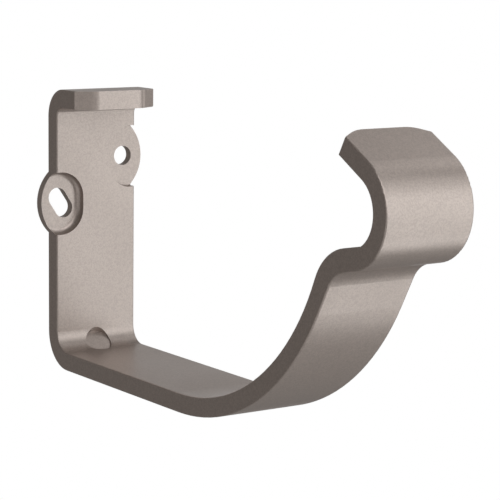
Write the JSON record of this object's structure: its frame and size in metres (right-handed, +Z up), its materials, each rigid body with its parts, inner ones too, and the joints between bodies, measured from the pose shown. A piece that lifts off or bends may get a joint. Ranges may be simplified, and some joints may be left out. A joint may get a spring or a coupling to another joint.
{
  "type": "gutter bracket",
  "caption": "Cast wall bracket bent to carry a flat-backed rain gutter: lip and screw lugs on the wall plate, flat base, curved front and a hook over the gutter's bead.",
  "frame": {"origin": "on the flat wall face, at mid width, midway in height between the two screw holes", "axes": "+X out from the wall towards the hook, +Y along the gutter, +Z up"},
  "size_m": [0.1519, 0.032, 0.0781],
  "materials": {
    "paint": "satin metallic taupe powder coat over cast aluminium"
  },
  "bodies": {
    "root": {"gutter_bracket": "paint"}
  },
  "joints": []
}
